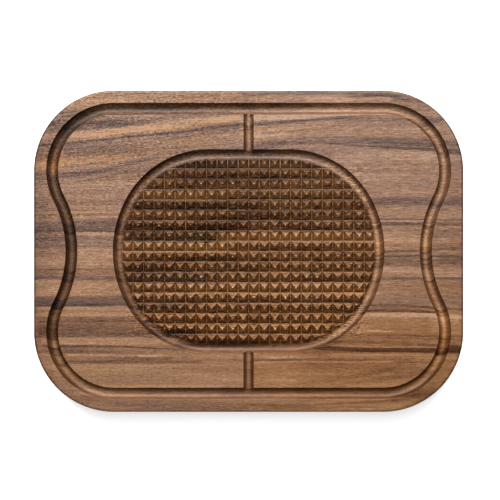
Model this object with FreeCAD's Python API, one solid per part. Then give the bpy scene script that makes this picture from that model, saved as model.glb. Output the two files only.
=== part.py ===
import FreeCAD, Part
import math
import os

# Steak board milled from one wood blank. All sizes are in millimetres and degrees.
# The origin is at the middle of the underside, +X runs along the board, +Y across it, +Z up.

# Blank
BOARD_LENGTH = 406.0
BOARD_WIDTH = 304.0
BOARD_THICKNESS = 25.0
CORNER_RADIUS = 76.0
TOP_EDGE_ROUND = 3.0
UNDERSIDE_BEVEL = 2.0

# Flats that follow the round bottom of every groove
GROOVE_FLATS = 5

# Juice groove, from the board's edge to the groove's centre line
JUICE_GROOVE_WIDTH = 11.0
JUICE_GROOVE_DEPTH = 5.0
JUICE_GROOVE_INSET = 17.8
WAIST_INSET = 36.0

# Ring groove round the carved field, with the flat land left between it and the juice groove
RING_GROOVE_WIDTH = 11.0
RING_GROOVE_DEPTH = 5.0
END_LAND = 33.6
SIDE_LAND = 32.8
RING_STRAIGHT_LENGTH = 76.0
RING_END_SWEEP = 60.0

# Drain channels from the ring groove to the juice groove
CHANNEL_WIDTH = 9.5
CHANNEL_DEPTH = 3.4

# Pyramids left standing between crossing V cuts
PYRAMID_LENGTH = 9.95
PYRAMID_WIDTH = 9.8
PYRAMID_HEIGHT = 4.6
V_CUTTER_ANGLE = 90.0

# How far a cutter's body stands above the face that it cuts
CUTTER_STAND = 1.0
V_CUTTER_STAND = 0.1

# How closely an edge must keep to a height to count as level there
LEVEL_MARGIN = 1e-6

UP = FreeCAD.Vector(0, 0, 1)


def point(x, y, z=BOARD_THICKNESS):
    """A point, on the top face unless a height is given."""
    return FreeCAD.Vector(x, y, z)


def arc(centre, radius, start, end):
    """A level arc round a centre, from one angle to another in degrees."""
    middle = (start + end) / 2
    ends = [math.radians(angle) for angle in (start, middle, end)]
    spots = [centre + point(radius * math.cos(a), radius * math.sin(a), 0) for a in ends]
    return Part.Arc(*spots).toShape()


def line(start, end):
    """A straight edge between two points."""
    return Part.LineSegment(start, end).toShape()


def rim_edges(board, height):
    """The level edges round the board at a height."""
    low, high = height - LEVEL_MARGIN, height + LEVEL_MARGIN
    return [edge for edge in board.Edges if low < edge.BoundBox.ZMin and edge.BoundBox.ZMax < high]


def blank():
    """The rounded board before any groove is cut."""
    board = Part.makeBox(BOARD_LENGTH, BOARD_WIDTH, BOARD_THICKNESS,
                         point(-BOARD_LENGTH / 2, -BOARD_WIDTH / 2, 0))
    upright = [edge for edge in board.Edges if edge.BoundBox.ZLength > BOARD_THICKNESS / 2]
    board = board.makeFillet(CORNER_RADIUS, upright)
    board = board.makeFillet(TOP_EDGE_ROUND, rim_edges(board, BOARD_THICKNESS))
    return board.makeChamfer(UNDERSIDE_BEVEL, rim_edges(board, 0.0))


def round_profile(width, depth, start):
    """The section of a round-bottomed groove, upright in the YZ plane at a point of the top face.

    The round bottom is followed by flats that touch its arc, the middle one at full depth.
    """
    half = width / 2
    radius = (half ** 2 + depth ** 2) / (2 * depth)
    half_sweep = 2 * math.atan2(depth, half)
    centre = start + UP * (radius - depth)
    reach = radius / math.cos(half_sweep / GROOVE_FLATS)
    left = start + point(0, -half, 0)
    right = start + point(0, half, 0)
    lift = UP * CUTTER_STAND
    spots = [right + lift, left + lift, left]
    for corner in range(1, GROOVE_FLATS):
        angle = half_sweep * (2 * corner / GROOVE_FLATS - 1)
        spots.append(centre + point(0, reach * math.sin(angle), -reach * math.cos(angle)))
    return Part.makePolygon(spots + [right, right + lift])


def swept_groove(path, width, depth, start):
    """The wood that a round-nosed cutter takes out along a closed path."""
    profile = round_profile(width, depth, start)
    return Part.Wire(path).makePipeShell([profile], True, True)


def juice_groove():
    """The groove that follows the rim and swings in to a waist at both ends of the board."""
    bend = CORNER_RADIUS - JUICE_GROOVE_INSET
    side = BOARD_WIDTH / 2 - JUICE_GROOVE_INSET
    end = BOARD_LENGTH / 2 - JUICE_GROOVE_INSET
    waist = BOARD_LENGTH / 2 - WAIST_INSET
    corner_x = end - bend
    corner_y = side - bend
    # The corner arc and the waist arc meet where both have turned by the same angle.
    turn = 2 * math.atan2(end - waist, corner_y)
    waist_radius = corner_y / math.sin(turn) - bend
    turn = math.degrees(turn)
    right = point(waist + waist_radius, 0)
    left = point(-waist - waist_radius, 0)
    path = [
        line(point(0, side), point(corner_x, side)),
        arc(point(corner_x, corner_y), bend, 90, -turn),
        arc(right, waist_radius, 180 - turn, 180 + turn),
        arc(point(corner_x, -corner_y), bend, turn, -90),
        line(point(corner_x, -side), point(-corner_x, -side)),
        arc(point(-corner_x, -corner_y), bend, 270, 180 - turn),
        arc(left, waist_radius, -turn, turn),
        arc(point(-corner_x, corner_y), bend, 180 + turn, 90),
        line(point(-corner_x, side), point(0, side)),
    ]
    return swept_groove(path, JUICE_GROOVE_WIDTH, JUICE_GROOVE_DEPTH, point(0, side))


def ring_half_sizes():
    """Half the length and half the width of the ring groove's centre line."""
    lips = (JUICE_GROOVE_WIDTH + RING_GROOVE_WIDTH) / 2
    half_length = BOARD_LENGTH / 2 - WAIST_INSET - lips - END_LAND
    half_width = BOARD_WIDTH / 2 - JUICE_GROOVE_INSET - lips - SIDE_LAND
    return half_length, half_width


def ring_path(height):
    """The oval centre line of the ring groove: flat sides, round corners and slightly fuller ends."""
    half_length, half_width = ring_half_sizes()
    flat = RING_STRAIGHT_LENGTH / 2
    sweep = RING_END_SWEEP / 2
    slope = math.tan(math.radians(sweep) / 2)
    bend = (half_length - flat - half_width * slope) / (1 - slope)
    end_radius = bend + (half_width - bend) / math.sin(math.radians(sweep))
    corner_y = half_width - bend
    right = point(half_length - end_radius, 0, height)
    left = point(end_radius - half_length, 0, height)
    return [
        line(point(0, half_width, height), point(flat, half_width, height)),
        arc(point(flat, corner_y, height), bend, 90, sweep),
        arc(right, end_radius, sweep, -sweep),
        arc(point(flat, -corner_y, height), bend, -sweep, -90),
        line(point(flat, -half_width, height), point(-flat, -half_width, height)),
        arc(point(-flat, -corner_y, height), bend, 270, 180 + sweep),
        arc(left, end_radius, 180 + sweep, 180 - sweep),
        arc(point(-flat, corner_y, height), bend, 180 - sweep, 90),
        line(point(-flat, half_width, height), point(0, half_width, height)),
    ]


def ring_groove():
    """The round-bottomed oval groove that frames the pyramids."""
    start = point(0, ring_half_sizes()[1])
    return swept_groove(ring_path(BOARD_THICKNESS), RING_GROOVE_WIDTH, RING_GROOVE_DEPTH, start)


def drain_channels():
    """The two short channels on the middle line, each from the ring groove to the juice groove."""
    ring_side = ring_half_sizes()[1]
    juice_side = BOARD_WIDTH / 2 - JUICE_GROOVE_INSET
    profile = round_profile(CHANNEL_WIDTH, CHANNEL_DEPTH, point(0, 0))
    profile.rotate(point(0, 0), UP, -90)
    channels = []
    for start, run in ((ring_side, juice_side - ring_side), (-ring_side, ring_side - juice_side)):
        section = profile.copy()
        section.translate(point(0, start, 0))
        channels.append(Part.Face(section).extrude(point(0, run, 0)))
    return channels


def cut_places(half_size, pitch):
    """Where the V cuts lie: whole pitches from the middle, as far as the ring groove's centre line."""
    count = math.floor(half_size / pitch)
    return [step * pitch for step in range(-count, count + 1)]


def v_profile(start, across):
    """The section of a V cut, with its point below a place on the top face."""
    rise = PYRAMID_HEIGHT + V_CUTTER_STAND
    half = across * (rise * math.tan(math.radians(V_CUTTER_ANGLE) / 2))
    low = start - UP * PYRAMID_HEIGHT
    high = low + UP * rise
    return Part.Face(Part.makePolygon([low, high - half, high + half, low]))


def pyramid_cuts():
    """Every V cut along and across the field, each cut off at the ring groove's centre line."""
    half_length, half_width = ring_half_sizes()
    floor = BOARD_THICKNESS - 2 * PYRAMID_HEIGHT
    oval = Part.Face(Part.Wire(ring_path(floor))).extrude(UP * (2 * PYRAMID_HEIGHT + CUTTER_STAND))
    across_cuts = []
    for x in cut_places(half_length, PYRAMID_LENGTH):
        section = v_profile(point(x, -half_width), point(1, 0, 0))
        across_cuts.append(oval.common(section.extrude(point(0, 2 * half_width, 0))))
    along_cuts = []
    for y in cut_places(half_width, PYRAMID_WIDTH):
        section = v_profile(point(-half_length, y), point(0, 1, 0))
        along_cuts.append(oval.common(section.extrude(point(2 * half_length, 0, 0))))
    return across_cuts, along_cuts


def steak_board():
    """The whole board: the blank with its pyramids, grooves and channels cut in."""
    board = blank()
    for cuts in pyramid_cuts():
        board = board.cut(cuts)
    board = board.cut(ring_groove())
    board = board.cut(juice_groove())
    board = board.cut(drain_channels())
    return board.removeSplitter()


os.makedirs("parts", exist_ok=True)
result = steak_board()
result.Solids[0].exportStep("parts/board.step")
box = result.optimalBoundingBox()
print("solids", len(result.Solids), "valid", result.isValid(), "volume", round(result.Volume))
print("faces", len(result.Faces), "size", round(box.XLength, 2), round(box.YLength, 2), round(box.ZLength, 2))
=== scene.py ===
import logging
import math
import random
from collections.abc import Mapping, Sequence
from dataclasses import dataclass, field
from enum import Enum
from typing import Any

import bmesh
import bpy
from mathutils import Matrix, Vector


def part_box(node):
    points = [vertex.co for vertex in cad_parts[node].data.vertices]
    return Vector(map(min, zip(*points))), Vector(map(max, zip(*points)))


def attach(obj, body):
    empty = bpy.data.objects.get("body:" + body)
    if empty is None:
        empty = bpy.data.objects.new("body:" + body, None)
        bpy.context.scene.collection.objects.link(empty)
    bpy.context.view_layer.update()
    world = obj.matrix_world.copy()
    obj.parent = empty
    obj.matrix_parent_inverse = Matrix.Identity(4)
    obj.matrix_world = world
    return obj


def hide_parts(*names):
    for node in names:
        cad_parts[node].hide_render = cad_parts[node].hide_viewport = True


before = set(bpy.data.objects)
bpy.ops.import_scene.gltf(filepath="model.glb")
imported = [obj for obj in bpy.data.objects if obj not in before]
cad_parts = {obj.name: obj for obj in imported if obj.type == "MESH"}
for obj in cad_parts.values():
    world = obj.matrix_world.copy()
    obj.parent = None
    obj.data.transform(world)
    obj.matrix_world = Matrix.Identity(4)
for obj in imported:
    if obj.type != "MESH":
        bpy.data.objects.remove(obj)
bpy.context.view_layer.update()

# The looks of a steak board: one thick walnut-toned board with a juice groove round the rim,
# a ring groove, two drain channels and a field of pyramids. Sizes are in millimetres, in the frame
# of the part: origin in the middle of the underside, +X along the board, +Y across it, +Z up.
MM = 0.001
BOARD_NODE = "board"
BODY = "root"
SEED = 11

# Degrees between the points of an arc, and the angle from which an edge is shaded as a sharp one
ARC_STEP = 2.0
SHARP_ANGLE = 38.0

# Sides of a pyramid, and points round each of its four ridges
SIDES = 4
RIDGE_POINTS = 3

# What a streak's curve keeps clear at both ends
CURVE_MARGIN = 0.01

# The wood's colours from its darkest to its palest, where it is warm and where it is cool
WARM_WOOD = (
    (0.0189, 0.0070, 0.0028),
    (0.0651, 0.0246, 0.0084),
    (0.1418, 0.0621, 0.0246),
    (0.2258, 0.1113, 0.0482),
    (0.3413, 0.1905, 0.0986),
)
COOL_WOOD = (
    (0.0252, 0.0151, 0.0114),
    (0.0651, 0.0378, 0.0296),
    (0.1365, 0.0778, 0.0547),
    (0.2152, 0.1318, 0.0923),
    (0.3150, 0.2052, 0.1482),
)

Spot = tuple[float, float, float]
Loop = list[Spot]

log = logging.getLogger("steak_board")


class Value:
    """One number in a shader graph, which takes part in arithmetic."""

    def __init__(self, shader: "Shader", socket: bpy.types.NodeSocket) -> None:
        """Keeps the graph and the socket that the number comes from."""
        self.shader = shader
        self.socket = socket

    def __add__(self, other: "Value | float") -> "Value":
        """Sum."""
        return self.shader.math("ADD", self, other)

    def __sub__(self, other: "Value | float") -> "Value":
        """Difference."""
        return self.shader.math("SUBTRACT", self, other)

    def __rsub__(self, other: float) -> "Value":
        """Difference from a plain number."""
        return self.shader.math("SUBTRACT", other, self)

    def __mul__(self, other: "Value | float") -> "Value":
        """Product."""
        return self.shader.math("MULTIPLY", self, other)

    def __truediv__(self, other: "Value | float") -> "Value":
        """Quotient."""
        return self.shader.math("DIVIDE", self, other)

    def __rtruediv__(self, other: float) -> "Value":
        """A plain number divided by this one."""
        return self.shader.math("DIVIDE", other, self)

    __radd__ = __add__
    __rmul__ = __mul__

    def __abs__(self) -> "Value":
        """Size without sign."""
        return self.shader.math("ABSOLUTE", self)

    def scaled(self, factor: float, start: float) -> "Value":
        """This number times a factor, counted from a start, in one node."""
        return self.shader.math("MULTIPLY_ADD", self, factor, start)

    def step(self, low: float, high: float) -> "Value":
        """Smooth step from 0 at low to 1 at high, or from 1 to 0 where low is the larger.

        Args:
            low: Where the result is 0.
            high: Where the result is 1.

        Returns:
            The step.
        """
        ends = {"From Min": min(low, high), "From Max": max(low, high)}
        ends |= {"To Min": 0.0, "To Max": 1.0} if low < high else {"To Min": 1.0, "To Max": 0.0}
        kind = {"interpolation_type": "SMOOTHSTEP"}
        made = self.shader.node("ShaderNodeMapRange", kind, {"Value": self, **ends})
        return Value(self.shader, made.outputs["Result"])

    def curve(self, points: Sequence[tuple[float, float]]) -> "Value":
        """This number, from 0 to 1, sent through a smooth curve of points from 0 to 1."""
        made = self.shader.node("ShaderNodeFloatCurve", {"curve": points}, {"Value": self})
        return Value(self.shader, made.outputs["Value"])


class Tint(Enum):
    """What the wood's colour is multiplied by in a part of the board, most of it painted light or shade."""

    # Darker cut wood together with painted shade, in everything cut below the top face.
    SUNK_TONE_AND_SHADE = (0.74, 0.67, 0.58)
    # Painted light in the juice groove on the right and in its lower left.
    RIGHT_GROOVE_LIGHT = (1.85, 2.0, 2.1)
    # Painted shade in the juice groove at the upper left and at the left waist.
    LEFT_GROOVE_SHADE = (0.42, 0.43, 0.45)
    # Painted shade on the ring groove's upper inner wall.
    UPPER_LIP_SHADE = (0.62, 0.6, 0.58)
    # Painted light: pyramid faces that look away from +Y are lifted more than those that look to +Y.
    FACET = (1.50, 1.44, 1.07)
    FAR_FACET = (1.21, 1.24, 1.17)
    # Painted shade towards the feet of the pyramids.
    DEEP_SHADE = (0.66, 0.60, 0.52)
    SHADED = (0.42, 0.40, 0.40)
    # Painted highlight along the pyramids' ridges.
    RIDGE = (1.7, 1.75, 1.85)
    # Painted highlight along the bottoms of the V cuts.
    VALLEY_HIGHLIGHT = (1.3, 1.58, 2.35)
    # Darker end grain together with painted shade on walls that slope along the board.
    END_GRAIN_AND_SHADE = (0.393, 0.32, 0.262)

    @property
    def colour(self) -> tuple[float, ...]:
        """The tint as a colour."""
        return (*self.value, 1.0)


class Shader:
    """The node graph of one material or of one group of nodes."""

    def __init__(self, tree: bpy.types.NodeTree) -> None:
        """Starts an empty graph in a tree."""
        self.tree = tree
        self.tree.nodes.clear()

    @classmethod
    def inside(cls, material: bpy.types.Material) -> "Shader":
        """The empty graph of a material."""
        material.use_nodes = True
        return cls(material.node_tree)

    @classmethod
    def group(cls, name: str, takes: Sequence[str], gives: Sequence[str]) -> "Shader":
        """The empty graph of a group of nodes.

        Args:
            name: The group's name.
            takes: Names of the numbers that it takes.
            gives: Names of the numbers that it gives.

        Returns:
            The graph.
        """
        tree = bpy.data.node_groups.new(name, "ShaderNodeTree")
        for direction, sockets in (("INPUT", takes), ("OUTPUT", gives)):
            for socket in sockets:
                tree.interface.new_socket(socket, in_out=direction, socket_type="NodeSocketFloat")
        return cls(tree)

    def node(
        self, kind: str, settings: Mapping[str, Any], sockets: Mapping[str | int, Any]
    ) -> bpy.types.Node:
        """Adds a node.

        Args:
            kind: The node's type.
            settings: Its settings, with "stops" for a ramp's and "curve" for a curve's points.
            sockets: What each input takes, by name or place: a value, a socket or a constant.

        Returns:
            The new node.
        """
        made = self.tree.nodes.new(kind)
        for name, setting in settings.items():
            if name == "stops":
                self._set_stops(made.color_ramp, setting)
            elif name == "curve":
                self._set_curve(made.mapping, setting)
            else:
                setattr(made, name, setting)
        for name, given in sockets.items():
            source = given.socket if isinstance(given, Value) else given
            if isinstance(source, bpy.types.NodeSocket):
                self.tree.links.new(source, made.inputs[name])
            else:
                made.inputs[name].default_value = source
        return made

    @staticmethod
    def _set_stops(ramp: bpy.types.ColorRamp, stops: Sequence[tuple[float, Sequence[float]]]) -> None:
        """Gives a ramp its stops.

        Args:
            ramp: The ramp, with two stops at first.
            stops: Each stop's place and colour.
        """
        while len(ramp.elements) < len(stops):
            ramp.elements.new(1.0)
        for element, (place, colour) in zip(ramp.elements, stops):
            element.position = place
            element.color = (*colour, 1.0)

    @staticmethod
    def _set_curve(mapping: bpy.types.CurveMapping, points: Sequence[tuple[float, float]]) -> None:
        """Gives a curve its points.

        Args:
            mapping: The curve, with two points at first.
            points: Its points, from left to right.
        """
        line = mapping.curves[0]
        while len(line.points) < len(points):
            line.points.new(1.0, 1.0)
        for knot, place in zip(line.points, points):
            knot.location = place
            knot.handle_type = "AUTO_CLAMPED"
        mapping.extend = "HORIZONTAL"
        mapping.update()

    def math(self, operation: str, *terms: "Value | float") -> Value:
        """Adds a Math node on up to three terms."""
        made = self.node("ShaderNodeMath", {"operation": operation}, dict(enumerate(terms)))
        return Value(self, made.outputs[0])

    def vector(self, operation: str, *terms: Any) -> bpy.types.NodeSocket:
        """Adds a Vector Math node on up to two terms."""
        made = self.node("ShaderNodeVectorMath", {"operation": operation}, dict(enumerate(terms)))
        return made.outputs[0]

    def join(self, x: "Value | float", y: "Value | float", z: "Value | float") -> bpy.types.NodeSocket:
        """Joins three numbers into a vector."""
        return self.node("ShaderNodeCombineXYZ", {}, {"X": x, "Y": y, "Z": z}).outputs["Vector"]

    def split(self, place: bpy.types.NodeSocket) -> tuple[Value, Value, Value]:
        """Splits a vector into its three numbers."""
        made = self.node("ShaderNodeSeparateXYZ", {}, {"Vector": place})
        return Value(self, made.outputs["X"]), Value(self, made.outputs["Y"]), Value(self, made.outputs["Z"])

    def noise(self, place: bpy.types.NodeSocket, detail: float = 2.0, roughness: float = 0.5) -> Value:
        """Noise about zero, from about -0.5 to 0.5.

        Args:
            place: Where to look, already scaled to the noise's size.
            detail: How many finer layers it has.
            roughness: How strong the finer layers are.

        Returns:
            The noise.
        """
        sockets = {"Vector": place, "Scale": 1.0, "Detail": detail, "Roughness": roughness}
        made = self.node("ShaderNodeTexNoise", {"noise_dimensions": "3D"}, sockets)
        return Value(self, made.outputs[0]) - 0.5

    def mix(
        self, factor: "Value | float", first: Any, second: Any, blend: str = "MIX"
    ) -> bpy.types.NodeSocket:
        """Mixes two colours.

        Args:
            factor: How much of the second one there is, from 0 to 1.
            first: The first colour.
            second: The second colour.
            blend: How they are mixed.

        Returns:
            The mixed colour.
        """
        settings = {"data_type": "RGBA", "clamp_factor": True, "blend_type": blend}
        made = self.node("ShaderNodeMix", settings, {0: factor, 6: first, 7: second})
        return made.outputs[2]

    def tint(self, part: Value, colour: bpy.types.NodeSocket, tint: Tint) -> bpy.types.NodeSocket:
        """Tints a colour where a part of the board is 1."""
        return self.mix(part, colour, tint.colour, "MULTIPLY")

    def ramp(self, level: Value, colours: Sequence[Sequence[float]]) -> bpy.types.NodeSocket:
        """The colour at a level from 0 to 1 in a row of colours that lie evenly apart."""
        stops = [(index / (len(colours) - 1), colour) for index, colour in enumerate(colours)]
        return self.node("ShaderNodeValToRGB", {"stops": stops}, {0: level}).outputs["Color"]


class Tone(Enum):
    """What a vein does to the wood: how much lighter it gets and how much greyer."""

    DARK = (-1.0, 0.25)
    SLATE = (-0.75, 1.0)
    UMBER = (-0.9, -0.35)
    PALE = (1.0, -0.15)
    AMBER = (0.55, -0.9)
    ROSE = (-0.1, 0.8)

    @property
    def lightness(self) -> float:
        """How much lighter the vein is."""
        return self.value[0]

    @property
    def greyness(self) -> float:
        """How much greyer the vein is."""
        return self.value[1]


@dataclass(frozen=True)
class Vein:
    """One streak along the board: mostly a natural streak in the grain, a few being painted highlights in
    the grooves.

    Attributes:
        tone: What the streak does to the wood.
        path: Places on its middle line on the top face, from left to right.
        half: Half its width.
        above: How softly its upper edge ends.
        below: How softly its lower edge ends.
        strength: How strong it is, 1 being full.
        start: How long it takes to come in at its left end.
        end: How long it takes to fade out at its right end.
    """

    tone: Tone
    path: tuple[tuple[float, float], ...]
    half: float
    above: float
    below: float
    strength: float
    start: float
    end: float

    def profile(self) -> list[tuple[float, float]]:
        """How it looks across.

        Returns:
            Its strength at four places, where 0 to 1 spans twice its reach.
        """
        double = 2 * self.reach
        return [
            (0.5 - (self.half + self.below) / double, 0.0),
            (0.5 - (self.half - self.below) / double, 1.0),
            (0.5 + (self.half - self.above) / double, 1.0),
            (0.5 + (self.half + self.above) / double, 0.0),
        ]

    @property
    def reach(self) -> float:
        """How far from its middle line it still shows."""
        return self.half + max(self.above, self.below) + CURVE_MARGIN


@dataclass(frozen=True)
class Place:
    """The place that is being shaded.

    Attributes:
        shader: The graph.
        x: Place along the board.
        y: Place across the board.
        z: Height above the underside.
        down: Depth below the top face.
    """

    shader: Shader
    x: Value
    y: Value
    z: Value
    down: Value

    @classmethod
    def inside(cls, material: bpy.types.Material, top: float) -> "Place":
        """Finds the place in a material's graph.

        Args:
            material: The material, whose graph is emptied first.
            top: Height of the top face.

        Returns:
            The place.
        """
        shader = Shader.inside(material)
        spot = shader.node("ShaderNodeTexCoord", {}, {}).outputs["Object"]
        x, y, z = shader.split(shader.vector("DIVIDE", spot, (MM, MM, MM)))
        return cls(shader, x, y, z, top - z)


@dataclass(frozen=True)
class Zones:
    """The parts of the board that have a tint of their own, much of it painted light or shade, each 1 inside
    and 0 outside.

    Attributes:
        oval: How far out a place lies, 1 at the edge of the pyramids.
        sunk: The grooves and the pyramids, and the walls of the drain channels, darker as cut wood and with
            painted shade.
        carved: The pyramids.
        far: The faces that look to +Y.
        ends: The faces that look along the board, darkened as end grain and with painted shade.
    """

    oval: Value
    sunk: Value
    carved: Value
    far: Value
    ends: Value


@dataclass(frozen=True)
class WoodFinish:
    """Oiled walnut-toned wood with streaks along the board, and light and shade painted into its cuts.

    Attributes:
        length: Length of the board.
        width: Width of the board.
        thickness: Height of the top face.
        pitch: Length and width of a pyramid.
        veins: The streaks that stand out.
        half_oval: Half the length and half the width of the oval that holds the pyramids.
        roundness: Power that shapes the oval, 2 being an ellipse.
        dip: How far the streaks shift across the board for each millimetre of depth.
        rise: How steeply the grain climbs in the upper left part.
    """

    length: float
    width: float
    thickness: float
    pitch: tuple[float, float]
    veins: Mapping[str, Sequence[Vein]]
    half_oval: tuple[float, float] = (117.0, 85.0)
    roundness: float = 2.6
    dip: float = 0.7
    rise: float = 0.1

    def build(self) -> bpy.types.Material:
        """Makes the material.

        Returns:
            The material, ready for a mesh.
        """
        material = bpy.data.materials.new("oiled_walnut_toned_wood")
        place = Place.inside(material, self.thickness)
        shader = place.shader
        across = self._across(place)
        light, grey = self._veins(place, across)
        climb = place.y.step(20.0, 110.0) * shader.math("MINIMUM", place.x - 40.0, 0.0) * self.rise
        light, grey = self._grain(place, across - climb, light, grey)
        zones = self._zones(place)
        level = light * 0.25 + 0.6
        colour = shader.mix(grey * 0.5 + 0.5, shader.ramp(level, WARM_WOOD), shader.ramp(level, COOL_WOOD))
        # Cut wood is darker, and painted shade darkens the hollows further.
        colour = shader.tint(zones.sunk, colour, Tint.SUNK_TONE_AND_SHADE)
        colour = self._grooves(place, zones, colour)
        colour = self._pyramids(place, zones, colour)
        # End grain is darker, and painted shade darkens every wall that slopes along the board.
        colour = shader.tint(zones.ends, colour, Tint.END_GRAIN_AND_SHADE)
        self._oil(place, across, zones, colour)
        return material

    def _across(self, place: Place) -> Value:
        """The place across the grain, which sways along the board and dips with depth.

        Args:
            place: The place that is shaded.

        Returns:
            The distance from the board's middle line, followed along the grain.
        """
        shader = place.shader
        sway = shader.noise(shader.join(place.x / 70.0, place.y / 24.0, place.z / 24.0), detail=2.0)
        ripple = shader.noise(shader.join(place.x / 16.0, place.y / 6.0, place.z / 6.0), detail=1.0)
        return place.y + sway * 1.4 + ripple * 0.7 + place.down * self.dip

    def _zones(self, place: Place) -> Zones:
        """Finds the parts of the board that have a tint of their own.

        Args:
            place: The place that is shaded.

        Returns:
            The parts.
        """
        x, y, down, shader = place.x, place.y, place.down, place.shader
        cut = down.step(7.5, 5.5)
        channel = abs(x).step(6.0, 4.5) * abs(y).step(93.0, 98.0) * abs(y).step(132.0, 127.0)
        # Darker cut wood and painted shade, weaker on the drain channels' floors.
        sunk = down.step(0.3, 2.2) * (cut - channel * down.step(1.5, 3.2) * 0.75)
        along = shader.math("POWER", abs(x / self.half_oval[0]), self.roundness)
        oval = along + shader.math("POWER", abs(y / self.half_oval[1]), self.roundness)
        normal = shader.node("ShaderNodeNewGeometry", {}, {}).outputs["Normal"]
        facing_x, facing_y, _ = shader.split(normal)
        carved = oval.step(1.08, 0.98) * cut
        return Zones(oval, sunk, carved, facing_y.step(0.25, 0.55), abs(facing_x).step(0.0, 0.6))

    def _grooves(
        self, place: Place, zones: Zones, colour: bpy.types.NodeSocket
    ) -> bpy.types.NodeSocket:
        """Paints light and shade into the grooves: paler on the right and darker on the left.

        Args:
            place: The place that is shaded.
            zones: The parts of the board.
            colour: The wood's colour so far.

        Returns:
            The tinted colour.
        """
        x, y, shader = place.x, place.y, place.shader
        # Painted light in the juice groove on the right and in its lower left, weaker on walls that face +Y.
        right = x.step(20.0, 100.0) * y.step(-135.0, -105.0).scaled(0.8, 0.2)
        lower_left = x.step(-90.0, -130.0) * y.step(-70.0, -100.0) * 0.35
        pale = zones.sunk * zones.oval.step(1.0, 1.1) * (right + lower_left) * (0.92 - zones.far * 0.75)
        colour = shader.tint(pale, colour, Tint.RIGHT_GROOVE_LIGHT)
        # Painted shadow on the juice groove's floor at the upper left, and painted shade at its left waist.
        corner = x.step(-20.0, -90.0) * y.step(93.0, 106.0) * place.down.step(3.7, 4.8) * 1.15
        waist = x.step(-150.0, -160.0) * abs(y).step(75.0, 55.0) * 0.75
        colour = shader.tint(zones.sunk * (corner + waist), colour, Tint.LEFT_GROOVE_SHADE)
        # Painted shade on the ring groove's inner wall along the top.
        lip = zones.sunk * zones.oval.step(0.96, 1.02) * zones.oval.step(1.14, 1.08) * y.step(55.0, 80.0)
        return shader.tint(lip, colour, Tint.UPPER_LIP_SHADE)

    def _pyramids(
        self, place: Place, zones: Zones, colour: bpy.types.NodeSocket
    ) -> bpy.types.NodeSocket:
        """Paints light and shade onto the pyramids: their faces by which way they look, painted shade on
        their lower parts, painted highlights on their ridges and in the valleys.

        Args:
            place: The place that is shaded.
            zones: The parts of the board.
            colour: The wood's colour so far.

        Returns:
            The tinted colour.
        """
        y, down, shader, carved, far = place.y, place.down, place.shader, zones.carved, zones.far
        # Painted light by facing: faces that look away from +Y are made lighter than those that look to +Y.
        facing_light = shader.mix(far, Tint.FACET.colour, Tint.FAR_FACET.colour)
        colour = shader.mix(carved, colour, facing_light, "MULTIPLY")
        # Painted shade on the lower parts of the pyramids, towards the valleys, less on faces that look to
        # +Y.
        deep_shade = carved * down.step(0.8, 4.4) * (1 - far * 0.7)
        colour = shader.tint(deep_shade, colour, Tint.DEEP_SHADE)
        column = shader.math("PINGPONG", place.x, self.pitch[0] / 2)
        row = shader.math("PINGPONG", y, self.pitch[1] / 2)
        shaded = carved * shader.math("MAXIMUM", far, row.step(0.9, 0.5)) * y.step(-90.0, 110.0)
        shaded = shaded + carved * row.step(1.1, 0.6) * y.step(0.0, 60.0) * 0.22
        colour = shader.tint(shaded, colour, Tint.SHADED)
        # Painted highlight along the ridges of each pyramid's +Y half, fading at the tip and the foot.
        far_half = shader.math("FRACT", y / self.pitch[1]).step(0.45, 0.55)
        ridge = abs(column - row).step(0.75, 0.2) * down.step(4.2, 3.2) * down.step(0.4, 1.8)
        colour = shader.tint(ridge * far_half * carved, colour, Tint.RIDGE)
        # Painted highlight: a pale bluish line along the bottoms of the V cuts, weaker along the row valleys
        # in the upper part.
        valley = carved * down.step(4.0, 4.35) * (0.65 - row.step(0.9, 0.5) * y.step(-60.0, 20.0) * 0.6)
        return shader.tint(valley, colour, Tint.VALLEY_HIGHLIGHT)

    def _veins(self, place: Place, across: Value) -> tuple[Value, Value]:
        """Adds up what every streak does.

        Args:
            place: The place that is shaded.
            across: Place across the grain.

        Returns:
            How much lighter and how much greyer the wood gets.
        """
        shader = place.shader
        fray = shader.noise(shader.join(place.x / 26.0, across / 1.4, 0.0), detail=3.0)
        sockets = {"x": place.x + fray * 9.0, "across": across + fray * 0.6}
        light: Value | float = 0.0
        grey: Value | float = 0.0
        for region, veins in self.veins.items():
            made = shader.node("ShaderNodeGroup", {"node_tree": self._region(region, veins)}, sockets)
            light = light + Value(shader, made.outputs["light"])
            grey = grey + Value(shader, made.outputs["grey"])
        ragged = fray * 1.1 + 1.0
        return light * ragged, grey * ragged

    def _region(self, region: str, veins: Sequence[Vein]) -> bpy.types.NodeTree:
        """Makes the group of nodes that holds the veins of one region.

        Args:
            region: The region's name.
            veins: Its veins.

        Returns:
            The group, which takes x and across and gives light and grey.
        """
        group = Shader.group(region, ("x", "across"), ("light", "grey"))
        given = group.node("NodeGroupInput", {}, {}).outputs
        x, across = Value(group, given["x"]), Value(group, given["across"])
        along = x.scaled(1 / self.length, 0.5)
        light: Value | float = 0.0
        grey: Value | float = 0.0
        for vein in veins:
            mask = self._mask(x, along, across, vein)
            light = group.math("MULTIPLY_ADD", mask, vein.tone.lightness * vein.strength, light)
            grey = group.math("MULTIPLY_ADD", mask, vein.tone.greyness * vein.strength, grey)
        group.node("NodeGroupOutput", {}, {"light": light, "grey": grey})
        return group.tree

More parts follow.
